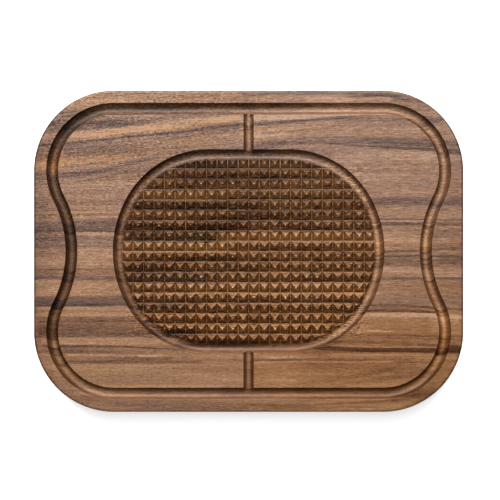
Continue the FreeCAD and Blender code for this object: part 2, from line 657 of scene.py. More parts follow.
    def _mask(self, x: Value, along: Value, across: Value, vein: Vein) -> Value:
        """How strongly a vein shows, from 0 to 1.

        Args:
            x: Place along the board.
            along: The same as a part of the board's length.
            across: Place across the grain.
            vein: The vein.

        Returns:
            The strength, before the vein's own one.
        """
        if len(vein.path) == 2:
            (x_0, y_0), (x_1, y_1) = vein.path
            slope = (y_1 - y_0) / (x_1 - x_0)
            line = x.scaled(slope, y_0 - slope * x_0)
        else:
            points = [(self._along(x_i), y_i / self.width + 0.5) for x_i, y_i in vein.path]
            line = along.curve(points).scaled(self.width, -self.width / 2)
        place = (across - line).scaled(0.5 / vein.reach, 0.5)
        left, right = vein.path[0][0], vein.path[-1][0]
        ends = [(left, 0.0), (left + vein.start, 1.0), (right - vein.end, 1.0), (right, 0.0)]
        if vein.start + vein.end > right - left:
            ends[1:3] = [((left + right) / 2, 1.0)]
        return place.curve(vein.profile()) * along.curve([(self._along(spot), part) for spot, part in ends])

    def _along(self, x: float) -> float:
        """A place along the board as a part of its length."""
        return min(1.0, max(0.0, x / self.length + 0.5))

    def _grain(
        self, place: Place, across: Value, light: Value, grey: Value
    ) -> tuple[Value, Value]:
        """Adds the broad bands, the fine fibres, the flecks and the pores.

        Args:
            place: The place that is shaded.
            across: Place across the grain.
            light: How much lighter the streaks make the wood.
            grey: How much greyer they make it.

        Returns:
            How light and how grey the wood is.
        """
        x, down, shader = place.x, place.down, place.shader
        broad = shader.noise(shader.join(x / 170.0, across / 13.0, 3.0), detail=3.0, roughness=0.6)
        carved = abs(x / self.half_oval[0]).step(1.0, 0.9) * abs(across / 84.0).step(1.0, 0.9) * 0.9
        stripes = shader.noise(shader.join(x / 80.0, across / 2.6, 7.0), detail=3.0, roughness=0.6)
        fibres = shader.noise(shader.join(x / 9.0, across / 0.8, down / 0.8), detail=2.0, roughness=0.6)
        pores = shader.noise(shader.join(x / 3.6, across / 0.6, down / 0.6), detail=1.0)
        flecks = shader.noise(shader.join(x / 3.0, across / 0.95, down / 0.95), detail=2.0, roughness=0.7)
        curly = x.step(110.0, -90.0) * (across.step(-40.0, 90.0) * 4.0 + 1.2)
        curly = curly + across.step(-20.0, 140.0) * 1.5
        lively = across.step(-120.0, 40.0) * 0.45 + carved + 0.65
        light = light * 1.35 + broad * 2.0 + (stripes * 2.0 + fibres * 4.2) * lively
        light = light + flecks * (curly + carved * 5.0 + 1.5)
        light = light * (carved * 0.3 + 1.0) - pores.step(0.03, 0.2) * 0.8
        light = light - x.step(-176.0, -203.0) * 0.45 - x.step(176.0, 203.0) * 0.15
        patches = shader.noise(shader.join(x / 120.0, across / 40.0, 5.0), detail=1.0)
        tints = shader.noise(shader.join(x / 70.0, across / 3.4, 9.0), detail=2.0)
        warmth = across.step(-110.0, 60.0) - across.step(-20.0, -110.0) * x.step(-40.0, 80.0) * 0.7
        grey = grey * 1.2 + patches * 0.8 + tints * 1.8 + warmth * 0.6 - carved * 0.3 - 0.35
        return light, grey

    def _oil(
        self, place: Place, across: Value, zones: Zones, colour: bpy.types.NodeSocket
    ) -> None:
        """Gives the wood its soft oiled sheen and the feel of its fibres.

        Args:
            place: The place that is shaded.
            across: Place across the grain.
            zones: The parts of the board.
            colour: The wood's colour.
        """
        shader = place.shader
        spot = shader.join(place.x / 14.0, across / 0.5, place.z / 0.5)
        fibre = shader.noise(spot, detail=3.0, roughness=0.6)
        bump = shader.node("ShaderNodeBump", {}, {"Strength": 0.25, "Distance": 0.0002, "Height": fibre})
        surface = shader.node("ShaderNodeBsdfPrincipled", {}, {
            "Base Color": colour,
            "Roughness": 0.45 + fibre * 0.15 - zones.sunk * 0.08,
            "Normal": bump.outputs["Normal"],
            "Specular IOR Level": 0.16,
        })
        shader.node("ShaderNodeOutputMaterial", {}, {"Surface": surface.outputs["BSDF"]})


@dataclass(frozen=True)
class Station:
    """A place on a level path with the direction that points out of the board.

    Attributes:
        x: Place along the board.
        y: Place across the board.
        out_x: Outward direction along the board.
        out_y: Outward direction across the board.
    """

    x: float
    y: float
    out_x: float
    out_y: float

    def mirrored(self, sign_x: int, sign_y: int) -> "Station":
        """The station on the other side of an axis."""
        return Station(self.x * sign_x, self.y * sign_y, self.out_x * sign_x, self.out_y * sign_y)

    def spot(self, out: float, height: float) -> Spot:
        """A point at a distance outwards and at a height."""
        return self.x + self.out_x * out, self.y + self.out_y * out, height


Path = list[Station]


def arc(centre: tuple[float, float], radius: float, start: float, end: float, facing: int = 1) -> Path:
    """Stations on an arc.

    Args:
        centre: The arc's centre.
        radius: Its radius.
        start: Angle of its first station, in degrees.
        end: Angle of its last station.
        facing: 1 if outwards is away from the centre, -1 if it is towards it.

    Returns:
        The stations, about two degrees apart.
    """
    count = max(2, round(abs(end - start) / ARC_STEP))
    stations = []
    for step in range(count + 1):
        angle = math.radians(start + (end - start) * step / count)
        cosine, sine = math.cos(angle), math.sin(angle)
        spot_x = centre[0] + radius * cosine
        spot_y = centre[1] + radius * sine
        stations.append(Station(spot_x, spot_y, cosine * facing, sine * facing))
    return stations


def full_loop(quarter: Path) -> Path:
    """Mirrors a quarter of a loop, from its top middle to its right middle, into the whole loop."""
    right = quarter + [station.mirrored(1, -1) for station in reversed(quarter[:-1])]
    return right + [station.mirrored(-1, 1) for station in reversed(right[1:-1])]


def make_piece(name: str, spots: Sequence[Spot], faces: Sequence[Sequence[int]]) -> bpy.types.Object:
    """Makes a piece from points in millimetres.

    Args:
        name: The piece's name.
        spots: Its points.
        faces: Its faces, as places in the list of points.

    Returns:
        The new object, at the origin.
    """
    mesh = bpy.data.meshes.new(name)
    mesh.from_pydata([tuple(MM * part for part in spot) for spot in spots], [], faces)
    shape = bmesh.new()
    shape.from_mesh(mesh)
    bmesh.ops.recalc_face_normals(shape, faces=shape.faces)
    shape.to_mesh(mesh)
    shape.free()
    piece = bpy.data.objects.new(name, mesh)
    bpy.context.scene.collection.objects.link(piece)
    return piece


def strip(first: Sequence[int], second: Sequence[int]) -> list[tuple[int, ...]]:
    """Faces between two closed rows of points.

    Args:
        first: The first row, as places in a list of points.
        second: The second row, which matches the first one to one.

    Returns:
        The faces, one for each step of the rows.
    """
    faces = []
    for step in range(len(first)):
        after = (step + 1) % len(first)
        faces.append((first[step], first[after], second[after], second[step]))
    return faces


def lofted(name: str, loops: Sequence[Loop], ring: bool = False) -> bpy.types.Object:
    """Makes a closed piece through loops whose points match one to one.

    Args:
        name: The piece's name.
        loops: The loops, in order.
        ring: Whether the last loop joins the first. If not, both ends are capped.

    Returns:
        The new object.
    """
    count = len(loops[0])
    rows = [range(level * count, (level + 1) * count) for level in range(len(loops))]
    faces: list[Sequence[int]] = [] if ring else [tuple(rows[0]), tuple(rows[-1])]
    for low, high in zip(rows, rows[1:] + rows[:1] if ring else rows[1:]):
        faces += strip(low, high)
    return make_piece(name, [spot for loop in loops for spot in loop], faces)


def settle(piece: bpy.types.Object) -> None:
    """Applies a piece's modifiers to its mesh.

    Args:
        piece: The piece.
    """
    graph = bpy.context.evaluated_depsgraph_get()
    made = bpy.data.meshes.new_from_object(piece.evaluated_get(graph))
    before = piece.data
    piece.modifiers.clear()
    piece.data = made
    bpy.data.meshes.remove(before)


def cut(body: bpy.types.Object, tool: bpy.types.Object, operation: str = "DIFFERENCE") -> None:
    """Cuts a tool's shape out of a body, or keeps what they share, and removes the tool.

    Args:
        body: The piece that is cut.
        tool: The shape that cuts it.
        operation: DIFFERENCE to cut, or INTERSECT to keep what they share.
    """
    change = body.modifiers.new("cut", "BOOLEAN")
    change.operation = operation
    change.solver = "MANIFOLD"
    change.object = tool
    settle(body)
    bpy.data.objects.remove(tool)


@dataclass(frozen=True)
class RoundNose:
    """The section that a round-nosed cutter leaves, with a softly eased lip on both sides.

    Attributes:
        width: Width of the groove at the top face.
        depth: Depth at its middle.
        ease: Radius of the eased lips.
        stand: How far the cutter's body stands above the top face.
        lip_steps: Steps round each lip.
        floor_steps: Steps round the groove's floor.
    """

    width: float
    depth: float
    ease: float = 0.28
    stand: float = 1.0
    lip_steps: int = 4
    floor_steps: int = 18

    def section(self, top: float) -> list[tuple[float, float]]:
        """The cutter's section.

        Args:
            top: Height of the top face.

        Returns:
            Points as a distance outwards and a height, all the way round.
        """
        half = self.width / 2
        radius = (half ** 2 + self.depth ** 2) / (2 * self.depth)
        rise = radius - self.depth
        reach = math.sqrt((radius + self.ease) ** 2 - (rise + self.ease) ** 2)
        lip_angle = math.atan2(rise + self.ease, -reach)
        lip = []
        for step in range(self.lip_steps):
            angle = math.pi / 2 + (lip_angle - math.pi / 2) * step / self.lip_steps
            lip.append((reach + self.ease * math.cos(angle), top - self.ease + self.ease * math.sin(angle)))
        floor = []
        first = lip_angle - math.pi
        last = -math.pi - first
        for step in range(self.floor_steps + 1):
            angle = first + (last - first) * step / self.floor_steps
            floor.append((radius * math.cos(angle), top + rise + radius * math.sin(angle)))
        other_lip = [(-out, height) for out, height in reversed(lip)]
        return [(reach, top + self.stand), *lip, *floor, *other_lip, (-reach, top + self.stand)]


@dataclass(frozen=True)
class JuiceGroove:
    """The groove along the rim, which swings in to a waist at both ends of the board.

    Attributes:
        nose: Its section.
        inset: How far its centre line lies from the board's edge.
        waist_inset: The same at the waists.
    """

    nose: RoundNose = RoundNose(11.0, 5.0)
    inset: float = 17.8
    waist_inset: float = 36.0

    def path(self, length: float, width: float, corner: float) -> Path:
        """The groove's centre line.

        Args:
            length: Length of the board.
            width: Width of the board.
            corner: Radius of its corners.

        Returns:
            Stations all the way round.
        """
        bend = corner - self.inset
        side = width / 2 - self.inset
        end = length / 2 - self.inset
        waist = length / 2 - self.waist_inset
        corner_x, corner_y = end - bend, side - bend
        turn = 2 * math.atan2(end - waist, corner_y)
        waist_radius = corner_y / math.sin(turn) - bend
        sweep = math.degrees(turn)
        quarter = [Station(0.0, side, 0.0, 1.0)]
        quarter += arc((corner_x, corner_y), bend, 90.0, -sweep)
        quarter += arc((waist + waist_radius, 0.0), waist_radius, 180.0 - sweep, 180.0, facing=-1)[1:]
        return full_loop(quarter)


@dataclass(frozen=True)
class RingGroove:
    """The oval groove round the pyramids.

    Attributes:
        nose: Its section.
        half_length: Half the length of its centre line.
        half_width: Half the width of its centre line.
        flat: Half the length of its straight sides.
        sweep: Half the angle of its fuller ends, in degrees.
    """

    nose: RoundNose = RoundNose(11.0, 5.0)
    half_length: float = 122.4
    half_width: float = 90.4
    flat: float = 38.0
    sweep: float = 30.0

    def path(self) -> Path:
        """The groove's centre line: flat sides, round corners and slightly fuller ends.

        Returns:
            Stations all the way round.
        """
        slope = math.tan(math.radians(self.sweep) / 2)
        bend = (self.half_length - self.flat - self.half_width * slope) / (1 - slope)
        end_radius = bend + (self.half_width - bend) / math.sin(math.radians(self.sweep))
        quarter = [Station(0.0, self.half_width, 0.0, 1.0)]
        quarter += arc((self.flat, self.half_width - bend), bend, 90.0, self.sweep)
        quarter += arc((self.half_length - end_radius, 0.0), end_radius, self.sweep, 0.0)[1:]
        return full_loop(quarter)


@dataclass(frozen=True)
class PyramidField:
    """Pyramids left between V cuts that cross, with soft valleys and blunted tips.

    Attributes:
        pitch: Distance between the cuts along and across the board.
        depth: Depth of a sharp V cut below the top face.
        cells: Pyramids along and across, out to beyond the ring groove.
        valley: Radius at the bottom of a cut.
        ridge: Radius of a pyramid's four ridges.
        blunt: Least and most that the tips lie below the top face.
        tip: How softly a tip's edge is rounded.
        stand: How far the cutters' body stands above the top face.
    """

    pitch: tuple[float, float] = (9.95, 9.8)
    depth: float = 4.6
    cells: tuple[int, int] = (26, 20)
    valley: float = 0.9
    ridge: float = 0.28
    blunt: tuple[float, float] = (0.1, 0.4)
    tip: float = 0.16
    stand: float = 1.0

    def tool(self, top: float, chance: random.Random) -> bpy.types.Object:
        """The wood that the V cuts take out, over a rectangle.

        Args:
            top: Height of the top face.
            chance: Where the small differences between pyramids come from.

        Returns:
            A closed piece.
        """
        spots: Loop = []
        faces: list[Sequence[int]] = []
        low = top - self.depth + self.valley * (math.sqrt(2) - 1)
        columns, lines = self.cells
        crossing: dict[tuple[int, int], int] = {}
        for i in range(columns + 1):
            for j in range(lines + 1):
                crossing[i, j] = len(spots)
                spots.append(((i - columns / 2) * self.pitch[0], (j - lines / 2) * self.pitch[1], low))
        for i in range(columns):
            for j in range(lines):
                around = [crossing[i + 1, j + 1], crossing[i, j + 1], crossing[i, j], crossing[i + 1, j]]
                self._pyramid(spots, faces, around, top, chance)
        rim = [(i, 0) for i in range(columns)]
        rim += [(columns, j) for j in range(lines)]
        rim += [(i, lines) for i in range(columns, 0, -1)]
        rim += [(0, j) for j in range(lines, 0, -1)]
        bottom = [crossing[place] for place in rim]
        lid = list(range(len(spots), len(spots) + len(bottom)))
        spots += [(spots[index][0], spots[index][1], top + self.stand) for index in bottom]
        faces += strip(bottom, lid)
        faces.append(lid)
        return make_piece("pyramid_cuts", spots, faces)

    def _levels(self, blunt: float) -> list[tuple[float, float, float]]:
        """A pyramid's levels, from its foot up.

        Args:
            blunt: How far its tip lies below the top face.

        Returns:
            Each level's distance from the valley, depth below the top face and ridge radius.
        """
        foot = self.valley / math.sqrt(2)
        mid = foot * 0.5
        mid_depth = self.depth - self.valley * math.sqrt(2) + math.sqrt(self.valley ** 2 - mid ** 2)
        shoulder = self.depth - blunt
        return [
            (mid, mid_depth, self.ridge * 0.5),
            (foot, self.depth - foot, self.ridge),
            (shoulder - self.tip, blunt + self.tip, self.ridge),
            (shoulder + self.tip * 0.25, blunt + self.tip * 0.25, self.ridge),
            (shoulder + self.tip, blunt, self.ridge * 0.8),
        ]

    def _pyramid(
        self, spots: Loop, faces: list[Sequence[int]], around: list[int], top: float, chance: random.Random
    ) -> None:
        """Adds one pyramid.

        Args:
            spots: The points so far, which grow.
            faces: The faces so far, which grow.
            around: Its four valley crossings, anticlockwise from the upper right one.
            top: Height of the top face.
            chance: Where its bluntness comes from.
        """
        centre_x = (spots[around[0]][0] + spots[around[2]][0]) / 2
        centre_y = (spots[around[0]][1] + spots[around[2]][1]) / 2
        blunt = chance.uniform(*self.blunt)
        count = SIDES * RIDGE_POINTS
        rows = []
        for inward, depth, radius in self._levels(blunt):
            half_x = self.pitch[0] / 2 - inward
            half_y = self.pitch[1] / 2 - inward
            rows.append(list(range(len(spots), len(spots) + count)))
            for quarter, (side_x, side_y) in enumerate(((1, 1), (-1, 1), (-1, -1), (1, -1))):
                for step in range(RIDGE_POINTS):
                    angle = math.pi / 2 * (quarter + step / (RIDGE_POINTS - 1))
                    spot_x = centre_x + side_x * (half_x - radius) + radius * math.cos(angle)
                    spot_y = centre_y + side_y * (half_y - radius) + radius * math.sin(angle)
                    spots.append((spot_x, spot_y, top - depth))
        for low, high in zip(rows, rows[1:]):
            faces += strip(low, high)
        faces.append(rows[-1])
        for quarter, crossing in enumerate(around):
            ridge = rows[0][quarter * RIDGE_POINTS:(quarter + 1) * RIDGE_POINTS]
            after = rows[0][(quarter + 1) * RIDGE_POINTS % count]
            faces += [(crossing, later, earlier) for earlier, later in zip(ridge, ridge[1:])]
            faces.append((crossing, around[(quarter + 1) % SIDES], after, ridge[-1]))


@dataclass(frozen=True)
class Blank:
    """The rounded board before any groove is cut.

    Attributes:
        length: Along the board.
        width: Across the board.
        thickness: Its thickness.
        corner: Radius of its corners.
        top_round: Radius of its upper edge.
        bevel: Size of the bevel round its underside.
        soft: How much the bevel's own edges are rounded.
        round_steps: Steps round the upper edge.
    """

    length: float
    width: float
    thickness: float
    corner: float = 76.0
    top_round: float = 3.0
    bevel: float = 2.0
    soft: float = 0.3
    round_steps: int = 8

    def build(self) -> bpy.types.Object:
        """Makes the blank.

        Returns:
            The new piece.
        """
        quarter = [Station(0.0, self.width / 2, 0.0, 1.0)]
        centre = (self.length / 2 - self.corner, self.width / 2 - self.corner)
        quarter += arc(centre, self.corner, 90.0, 0.0)
        rim = full_loop(quarter)
        levels = [
            (self.bevel + self.soft, 0.0),
            (self.bevel - self.soft * 0.5, self.soft * 0.5),
            (self.soft * 0.5, self.bevel - self.soft * 0.5),
            (0.0, self.bevel + self.soft),
        ]
        for step in range(self.round_steps + 1):
            angle = math.pi / 2 * step / self.round_steps
            inward = self.top_round * (1 - math.cos(angle))
            height = self.thickness - self.top_round * (1 - math.sin(angle))
            levels.append((inward, height))
        return lofted("steak_board", [[s.spot(-inward, height) for s in rim] for inward, height in levels])


@dataclass
class SteakBoard:
    """The whole board.

    Attributes:
        blank: The rounded board.
        veins: The streaks in its wood, region by region.
        juice: The groove along the rim.
        ring: The oval groove.
        channel: Section of the two drain channels.
        pyramids: The carved field.
        pieces: The pieces made so far.
    """

    blank: Blank
    veins: Mapping[str, Sequence[Vein]]
    juice: JuiceGroove = JuiceGroove()
    ring: RingGroove = RingGroove()
    channel: RoundNose = RoundNose(9.5, 3.4)
    pyramids: PyramidField = PyramidField()
    pieces: list[bpy.types.Object] = field(default_factory=list)

    def build(self) -> None:
        """Cuts the board, finishes it and puts it in the place of the plain solid."""
        top = self.blank.thickness
        board = self.blank.build()
        field_tool = self.pyramids.tool(top, random.Random(SEED))
        cut(field_tool, self._oval(top), "INTERSECT")
        cut(board, field_tool)
        cut(board, self._groove("ring_groove", self.ring.path(), self.ring.nose))
        juice_path = self.juice.path(self.blank.length, self.blank.width, self.blank.corner)
        cut(board, self._groove("juice_groove", juice_path, self.juice.nose))
        for side in (1, -1):
            cut(board, self._channel(side))
        self._smooth(board)
        finish = WoodFinish(self.blank.length, self.blank.width, top, self.pyramids.pitch, self.veins)
        board.data.materials.clear()
        board.data.materials.append(finish.build())
        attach(board, BODY)
        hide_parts(BOARD_NODE)
        self.pieces.append(board)

    def _oval(self, top: float) -> bpy.types.Object:
        """The space inside the ring groove's centre line, from below the cuts to just over the top.

        Args:
            top: Height of the top face.

        Returns:
            The space, as a closed piece.
        """
        low = top - 2 * self.pyramids.depth
        high = top + self.pyramids.stand / 2
        return lofted("oval", [[s.spot(0.0, height) for s in self.ring.path()] for height in (low, high)])

    def _groove(self, name: str, path: Path, nose: RoundNose) -> bpy.types.Object:
        """The wood that a round-nosed cutter takes out along a closed path."""
        section = nose.section(self.blank.thickness)
        return lofted(name, [[s.spot(out, height) for out, height in section] for s in path], ring=True)

    def _channel(self, side: int) -> bpy.types.Object:
        """The wood that leaves a drain channel.

        Args:
            side: 1 for the channel on the side of +Y, -1 for the other one.

        Returns:
            The wood, as a closed piece.
        """
        section = self.channel.section(self.blank.thickness)
        ends = (self.ring.half_width * side, (self.blank.width / 2 - self.juice.inset) * side)
        return lofted("drain_channel", [[(out, y, height) for out, height in section] for y in ends])

    @staticmethod
    def _smooth(piece: bpy.types.Object) -> None:
        """Shades the rounds smooth and keeps the flats flat and the hard edges sharp.

        Args:
            piece: The piece.
        """
        piece.data.shade_smooth()
        piece.data.set_sharp_from_angle(angle=math.radians(SHARP_ANGLE))
        weights = piece.modifiers.new("flat_faces", "WEIGHTED_NORMAL")
        weights.keep_sharp = True
        settle(piece)


@dataclass(frozen=True)
class Lamp:
    """A soft rectangular lamp that points at the middle of the board.

    Attributes:
        name: Its name.
        place: Where it hangs.
        size: Its two sides.
        power: Its power in watts.
    """

    name: str
    place: Spot
    size: tuple[float, float]
    power: float

    def build(self) -> None:
        """Hangs the lamp."""
        data = bpy.data.lights.new(self.name, "AREA")
        data.shape = "RECTANGLE"
        data.size, data.size_y = (MM * side for side in self.size)
        data.energy = self.power
        lamp = bpy.data.objects.new(self.name, data)
        lamp.location = Vector(self.place) * MM
        lamp.rotation_euler = (-lamp.location).to_track_quat("-Z", "Y").to_euler()
        bpy.context.scene.collection.objects.link(lamp)


@dataclass(frozen=True)
class Studio:
    """The plain pale floor, the soft lights and the camera straight above the board.

    Attributes:
        top: Height of the board's top face.
        camera_height: Height of the camera above the floor.
        camera_place: How far the camera hangs from the middle, along and across the board.
        seen_width: Width of the view at the height of the top face.
        sensor: Width of the camera's sensor.
        floor_reach: How far the floor runs out to each side.
        floor_glow: Light that the floor gives off, which softens the shadow on it.
        room: Strength of the dim light from all sides.
        lamps: The soft lamps.
    """

    top: float
    camera_height: float = 975.0
    camera_place: tuple[float, float] = (1.3, 1.1)
    seen_width: float = 471.2
    sensor: float = 36.0
    floor_reach: float = 60000.0
    floor_glow: float = 0.7
    room: float = 0.1
    lamps: tuple[Lamp, ...] = (
        Lamp("key", (-300.0, 2080.0, 2160.0), (2700.0, 1200.0), 205.0),
        Lamp("overhead", (0.0, 600.0, 1750.0), (900.0, 700.0), 10.0),
    )

    def build(self) -> None:
        """Sets up everything round the board."""
        self._floor()
        self._camera()
        for lamp in self.lamps:
            lamp.build()
        self._room()
        bpy.context.scene.view_settings.view_transform = "Standard"

    def _floor(self) -> None:
        """Lays a wide pale floor under the board."""
        reach = self.floor_reach
        corners = [(-reach, -reach, 0.0), (reach, -reach, 0.0), (reach, reach, 0.0), (-reach, reach, 0.0)]
        floor = make_piece("floor", corners, [(0, 1, 2, 3)])
        material = bpy.data.materials.new("pale_floor")
        shader = Shader.inside(material)
        grain = shader.noise(shader.node("ShaderNodeTexCoord", {}, {}).outputs["Object"], detail=1.0)
        surface = shader.node("ShaderNodeBsdfPrincipled", {}, {
            "Base Color": shader.mix(grain + 0.5, (0.93, 0.93, 0.93, 1.0), (0.95, 0.95, 0.95, 1.0)),
            "Roughness": 0.9,
            "Emission Color": (1.0, 1.0, 1.0, 1.0),
            "Emission Strength": self.floor_glow,
        })
        shader.node("ShaderNodeOutputMaterial", {}, {"Surface": surface.outputs["BSDF"]})
        floor.data.materials.append(material)

    def _camera(self) -> None:
        """Hangs the camera over the middle of the board, looking straight down."""
        data = bpy.data.cameras.new("camera")
        data.sensor_width = self.sensor
        data.lens = self.sensor * (self.camera_height - self.top) / self.seen_width
        camera = bpy.data.objects.new("camera", data)
        camera.location = (*(MM * part for part in self.camera_place), MM * self.camera_height)
        bpy.context.scene.collection.objects.link(camera)
        bpy.context.scene.camera = camera

    def _room(self) -> None:
        """Lights the room evenly and dimly from all sides."""
        world = bpy.data.worlds.new("soft_room")
        bpy.context.scene.world = world
        world.use_nodes = True
        background = world.node_tree.nodes["Background"]
        background.inputs["Color"].default_value = (1.0, 1.0, 1.0, 1.0)
        background.inputs["Strength"].default_value = self.room


# The streaks that stand out, region by region. After its tone and its path, a streak has half its
# width, the softness of its upper and lower edge, its strength, and the lengths over which it comes
# in at the left and fades out at the right.
TOP_RIM_VEINS = (
    Vein(Tone.PALE, ((5.0, 142.0), (100.0, 142.0)), 6.0, 2.0, 2.0, 0.45, 15.0, 25.0),
    Vein(Tone.AMBER, ((-177.9, 139.1), (-8.0, 145.8)), 5.7, 2.8, 2.8, 0.35, 18.9, 18.9),
    Vein(Tone.PALE, ((-161.0, 141.0), (-104.3, 142.0)), 1.1, 0.9, 0.9, 0.5, 14.2, 14.2),
    Vein(
        Tone.SLATE, ((-8.0, 148.1), (76.9, 149.1), (143.0, 146.2), (171.3, 138.2)),
        1.3, 0.9, 1.1, 0.7, 28.3, 14.2,
    ),
    Vein(Tone.DARK, ((91.1, 144.8), (122.2, 146.7), (154.3, 141.5)), 0.8, 0.8, 0.8, 0.6, 9.4, 9.4),
    Vein(Tone.PALE, ((48.6, 142.9), (138.3, 142.9)), 1.7, 0.9, 0.9, 0.5, 28.3, 11.3),
)
LEFT_RIM_VEINS = (
    # Painted highlight in the juice groove at the upper left corner.
    Vein(Tone.AMBER, ((-197.0, 87.0), (-172.0, 90.0)), 9.0, 4.0, 5.0, 0.6, 8.0, 8.0),
    Vein(Tone.DARK, ((-179.8, 126.9), (-165.7, 127.8)), 0.7, 0.4, 0.6, 0.9, 3.8, 3.8),
    Vein(Tone.SLATE, ((-189.3, 119.3), (-153.4, 122.2)), 5.7, 2.8, 2.8, 0.5, 5.7, 7.6),
    Vein(Tone.PALE, ((-196.8, 108.9), (-176.1, 109.9)), 2.8, 1.4, 1.4, 0.4, 3.8, 5.7),
    Vein(Tone.DARK, ((-200.6, 99.5), (-179.8, 101.4)), 0.8, 0.5, 0.7, 0.9, 3.8, 4.7),
    Vein(Tone.AMBER, ((-202.5, 80.6), (-180.8, 82.5)), 2.4, 0.9, 0.9, 0.5, 3.8, 4.7),
    Vein(Tone.SLATE, ((-203.4, 69.3), (-179.8, 71.2)), 2.8, 1.4, 1.4, 0.6, 3.8, 4.7),
)
UPPER_LEFT_VEINS = (
    Vein(Tone.DARK, ((-150.0, 124.0), (-8.0, 127.0)), 7.0, 3.0, 3.0, 0.2, 20.0, 30.0),
    Vein(Tone.DARK, ((-200.0, 108.0), (-95.0, 112.0)), 20.0, 8.0, 8.0, 0.32, 10.0, 30.0),
    Vein(Tone.PALE, ((-137.4, 127.8), (-85.4, 127.8)), 0.6, 0.4, 0.4, 0.9, 7.6, 14.2),
    Vein(Tone.DARK, ((-155.3, 121.2), (-119.4, 123.1)), 1.1, 0.6, 0.8, 0.60, 7.6, 11.3),
    Vein(Tone.SLATE, ((-164.7, 116.0), (-140.2, 117.4), (-113.8, 120.7)), 3.1, 1.1, 1.1, 0.45, 7.6, 14.2),
    Vein(
        Tone.PALE,
        ((-170.4, 109.9), (-149.6, 110.8), (-121.3, 113.7), (-93.0, 117.0), (-55.2, 121.2), (-6.1, 126.4)),
        2.7, 1.1, 1.1, 0.75, 7.6, 11.3,
    ),
    Vein(Tone.AMBER, ((-170.4, 108.9), (-121.3, 112.7), (-6.1, 125.0)), 3.3, 1.9, 1.9, 0.65, 7.6, 11.3),
    Vein(
        Tone.SLATE,
        (
            (-181.7, 100.0), (-149.6, 103.7), (-121.3, 107.0), (-93.0, 109.9), (-74.1, 111.3),
            (-36.3, 116.0), (-3.3, 119.3),
        ),
        1.0, 0.6, 1.0, 1.10, 37.8, 2.8,
    ),
    Vein(Tone.SLATE, ((-144.9, 102.8), (-93.0, 106.6), (-3.3, 115.5)), 1.5, 1.1, 1.5, 0.40, 18.9, 2.8),
    Vein(Tone.SLATE, ((-88.3, 103.7), (-43.9, 108.0)), 0.9, 0.7, 0.7, 0.40, 9.4, 11.3),
    Vein(Tone.SLATE, ((-179.8, 95.7), (-116.6, 97.6)), 4.7, 2.4, 2.4, 0.30, 7.6, 23.6),
    Vein(Tone.AMBER, ((-179.8, 83.4), (-113.8, 88.2)), 2.8, 1.4, 1.4, 0.65, 7.6, 18.9),
    Vein(
        Tone.SLATE, ((-180.8, 70.7), (-149.6, 74.0), (-130.7, 77.8), (-116.6, 81.6), (-81.7, 90.1)),
        1.9, 0.8, 0.9, 0.85, 7.6, 7.6,
    ),
    Vein(Tone.DARK, ((-179.8, 78.3), (-144.9, 82.5), (-113.8, 88.6)), 0.5, 0.4, 0.4, 0.60, 7.6, 14.2),
    Vein(Tone.DARK, ((-179.8, 63.2), (-149.6, 67.4), (-113.8, 74.5)), 0.5, 0.4, 0.4, 0.50, 7.6, 11.3),
)
UPPER_RIGHT_VEINS = (
    Vein(Tone.PALE, ((2.0, 93.0), (203.4, 93.0)), 34.0, 12.0, 14.0, 0.2, 40.0, 10.0),
    Vein(Tone.ROSE, ((2.0, 93.0), (203.4, 93.0)), 34.0, 12.0, 14.0, 0.25, 40.0, 10.0),
    Vein(
        Tone.PALE, ((2.4, 126.4), (48.6, 126.6), (86.4, 128.2), (150.6, 127.8)),
        2.3, 0.8, 0.6, 0.85, 2.8, 18.9,
    ),
    Vein(
        Tone.SLATE,
        (
            (2.4, 119.8), (29.7, 121.7), (48.6, 123.1), (67.5, 125.0), (91.1, 126.4), (119.4, 126.7),
            (154.3, 125.9),
        ),
        1.3, 0.4, 1.1, 1.3, 2.8, 7.6,
    ),
    Vein(Tone.SLATE, ((160.0, 124.5), (183.6, 124.0)), 3.1, 0.3, 2.8, 0.90, 2.8, 2.8),
    Vein(Tone.UMBER, ((9.0, 111.3), (48.6, 113.7), (80.7, 117.0)), 0.9, 0.7, 0.8, 0.50, 9.4, 9.4),
    Vein(Tone.AMBER, ((3.3, 115.5), (48.6, 117.0), (78.8, 119.8)), 2.1, 1.1, 1.1, 0.45, 5.7, 9.4),
    Vein(Tone.PALE, ((3.3, 108.9), (48.6, 110.8)), 1.9, 0.9, 0.9, 0.4, 5.7, 18.9),
    Vein(Tone.PALE, ((92.0, 92.0), (178.0, 90.5)), 3.6, 1.9, 1.9, 0.35, 18.9, 7.6),
    Vein(Tone.DARK, ((95.0, 109.0), (185.0, 107.0)), 6.0, 2.5, 2.5, 0.2, 18.9, 7.6),
    Vein(
        Tone.SLATE,
        ((1.4, 97.6), (29.7, 101.9), (58.1, 104.2), (91.1, 104.7), (128.9, 103.3), (177.9, 101.4)),
        2.9, 1.4, 1.6, 0.9, 5.7, 11.3,
    ),
    Vein(Tone.SLATE, ((110.9, 99.5), (143.0, 99.0), (180.8, 96.7)), 3.0, 0.9, 0.9, 0.6, 11.3, 5.7),
    Vein(
        Tone.DARK, ((69.4, 102.1), (91.1, 100.8), (116.6, 98.7), (152.5, 97.0), (183.6, 95.2)),
        0.8, 0.5, 0.7, 0.85, 11.3, 4.7,
    ),
    Vein(Tone.DARK, ((185.5, 93.8), (202.5, 92.9)), 1.9, 0.9, 0.4, 1.00, 2.8, 2.8),
    Vein(Tone.SLATE, ((180.8, 100.4), (200.6, 99.5)), 3.8, 1.9, 0.9, 0.40, 2.8, 2.8),
    Vein(Tone.PALE, ((76.9, 88.2), (180.8, 86.3)), 5.7, 1.9, 3.8, 0.25, 18.9, 7.6),
)
